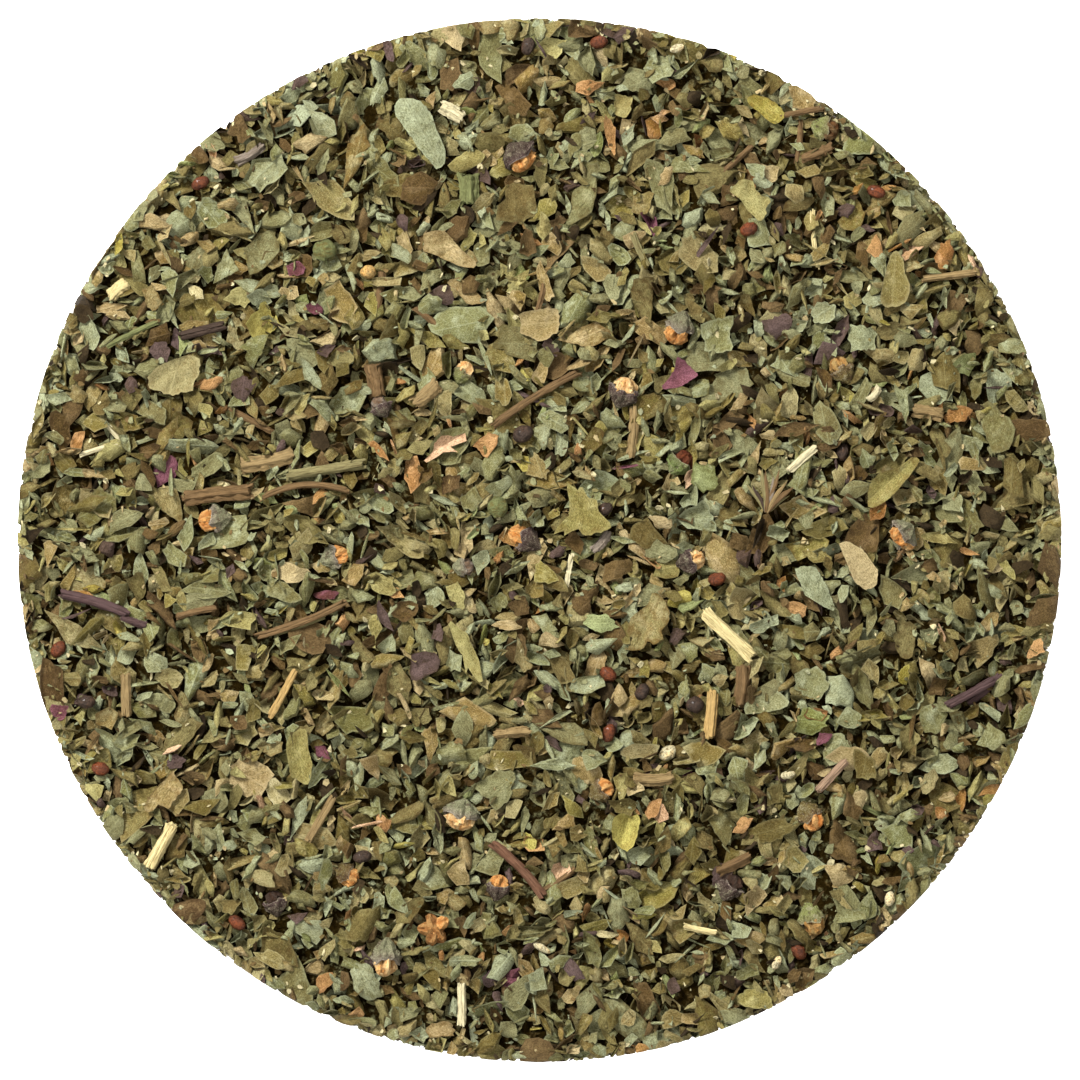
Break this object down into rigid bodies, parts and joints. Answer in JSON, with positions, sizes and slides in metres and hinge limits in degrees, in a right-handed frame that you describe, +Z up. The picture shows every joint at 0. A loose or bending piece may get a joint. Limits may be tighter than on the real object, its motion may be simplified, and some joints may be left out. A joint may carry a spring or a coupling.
{
  "type": "round bed of dried rubbed basil",
  "caption": "Round flat bed of dried, cut basil leaf flakes with broken stems, flower cups, buds and seeds lying in its top.",
  "frame": {"origin": "middle of the flat base, on the surface that the bed lies on", "axes": "+Z up, out of the bed's top; +Y towards the top of the picture and +X to its right"},
  "size_m": [0.125, 0.125, 0.0137],
  "materials": {
    "leaf_flakes": "matte",
    "stem_straw": "matte",
    "stem_golden": "matte",
    "stem_brown": "matte",
    "stem_purple": "matte",
    "stem_mauve": "matte",
    "stem_red_brown": "matte",
    "stem_dark_brown": "matte",
    "stem_tan": "matte",
    "stem_magenta": "matte",
    "stem_cream": "matte",
    "leaf_olive_yellow": "matte",
    "leaf_sage": "matte",
    "leaf_pink_tan": "matte",
    "leaf_olive": "matte",
    "leaf_tan": "matte",
    "leaf_mauve": "matte",
    "leaf_yellow": "matte",
    "leaf_purple": "matte",
    "leaf_peach": "matte",
    "leaf_magenta": "matte",
    "cup_peach": "matte",
    "cup_mauve": "matte",
    "cup_purple": "matte",
    "cup_ochre": "matte",
    "cup_green": "matte",
    "cup_brown": "matte",
    "grain_green": "matte",
    "grain_red_brown": "matte",
    "grain_dark_brown": "matte"
  },
  "bodies": {
    "root": {"herb_bed": "leaf_flakes", "stem_straw_split": "stem_straw", "stem_golden": "stem_golden", "stem_brown_long": "stem_brown", "stem_brown_left": "stem_brown", "stem_purple_left": "stem_purple", "stem_purple_right": "stem_mauve", "stem_red": "stem_red_brown", "stem_straw_low": "stem_straw", "stem_brown_low": "stem_brown", "stem_straw_stub": "stem_straw", "stem_brown_bent": "stem_golden", "stem_dark": "stem_dark_brown", "stem_stick": "stem_tan", "stem_stalk": "stem_magenta", "stem_cream": "stem_cream", "stem_golden_thin": "stem_golden", "leaf_star": "leaf_olive_yellow", "leaf_sage_long": "leaf_sage", "leaf_pink_tan": "leaf_pink_tan", "leaf_sage_curled": "leaf_sage", "leaf_olive_ragged": "leaf_olive", "leaf_tan_left": "leaf_tan", "leaf_tan_top": "leaf_tan", "leaf_tan_notched": "leaf_tan", "leaf_tan_square": "leaf_tan", "leaf_tan_toothed": "leaf_tan", "leaf_grey_brown": "leaf_mauve", "leaf_folded": "leaf_olive_yellow", "leaf_yellow_olive": "leaf_olive_yellow", "leaf_twisted": "leaf_olive_yellow", "leaf_yellow_curled": "leaf_yellow", "leaf_yellow_flat": "leaf_yellow", "leaf_purple": "leaf_purple", "petal_peach": "leaf_peach", "petal_magenta": "leaf_magenta", "cup_peach": "cup_peach", "cup_low": "cup_mauve", "cup_top": "cup_purple", "cup_upper": "cup_mauve", "cup_orange": "cup_ochre", "cup_right": "cup_green", "cup_left": "cup_purple", "cup_ochre": "cup_ochre", "cup_whorl": "cup_brown", "cup_purple": "cup_purple", "bud_round": "grain_green", "bud_green": "grain_green", "seed_upper_left": "grain_red_brown", "seed_upper_right": "grain_red_brown", "seed_middle": "grain_red_brown", "seed_lower": "grain_dark_brown", "seed_lower_left": "grain_red_brown"}
  },
  "joints": []
}
